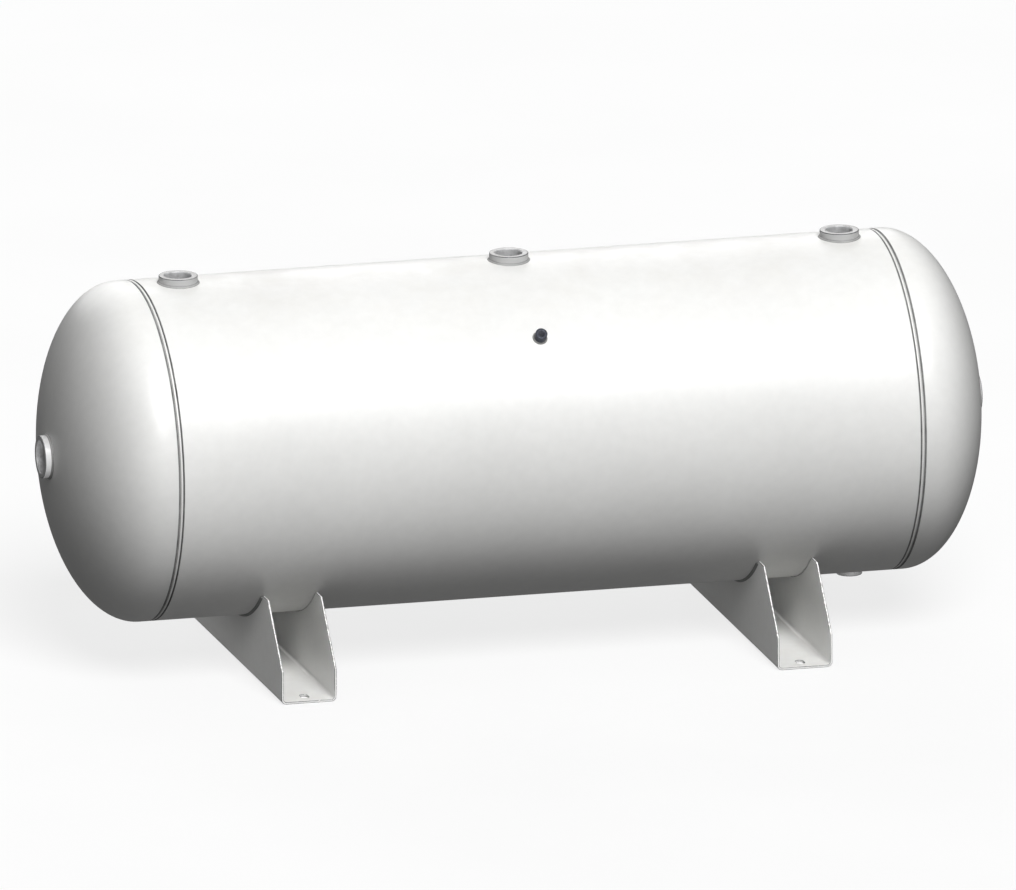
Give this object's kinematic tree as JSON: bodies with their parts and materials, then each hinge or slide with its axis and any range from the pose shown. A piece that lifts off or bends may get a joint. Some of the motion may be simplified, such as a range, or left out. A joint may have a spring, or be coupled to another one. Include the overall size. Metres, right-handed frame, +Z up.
{
  "type": "air receiver tank",
  "caption": "Horizontal cylindrical air receiver with dished heads, threaded ports on top, ends and bottom, a side gauge port, and two bent channel feet.",
  "frame": {"origin": "on the floor under the middle of the tank, at the height of the undersides of the feet", "axes": "+Z up, X along the tank with the drain port near the +X end, -Y towards the gauge port"},
  "size_m": [1.728, 0.6648, 0.7138],
  "materials": {
    "tank_paint": "satin light grey enamel with fine orange peel",
    "bare_steel": "turned, unpainted, dark"
  },
  "bodies": {
    "root": {"shell": "tank_paint", "long_seam_weld": "tank_paint", "left_head": "tank_paint", "left_seam_weld": "tank_paint", "right_head": "tank_paint", "right_seam_weld": "tank_paint", "top_port_left": "tank_paint", "top_port_center": "tank_paint", "top_port_right": "tank_paint", "end_port_left": "tank_paint", "end_port_right": "tank_paint", "drain_port": "tank_paint", "gauge_port": "bare_steel", "top_port_left_weld": "tank_paint", "top_port_center_weld": "tank_paint", "top_port_right_weld": "tank_paint", "end_port_left_weld": "tank_paint", "end_port_right_weld": "tank_paint", "drain_port_weld": "tank_paint", "gauge_port_weld": "tank_paint", "left_foot": "tank_paint", "right_foot": "tank_paint", "left_foot_outer_weld": "tank_paint", "left_foot_inner_weld": "tank_paint", "right_foot_outer_weld": "tank_paint", "right_foot_inner_weld": "tank_paint"}
  },
  "joints": []
}
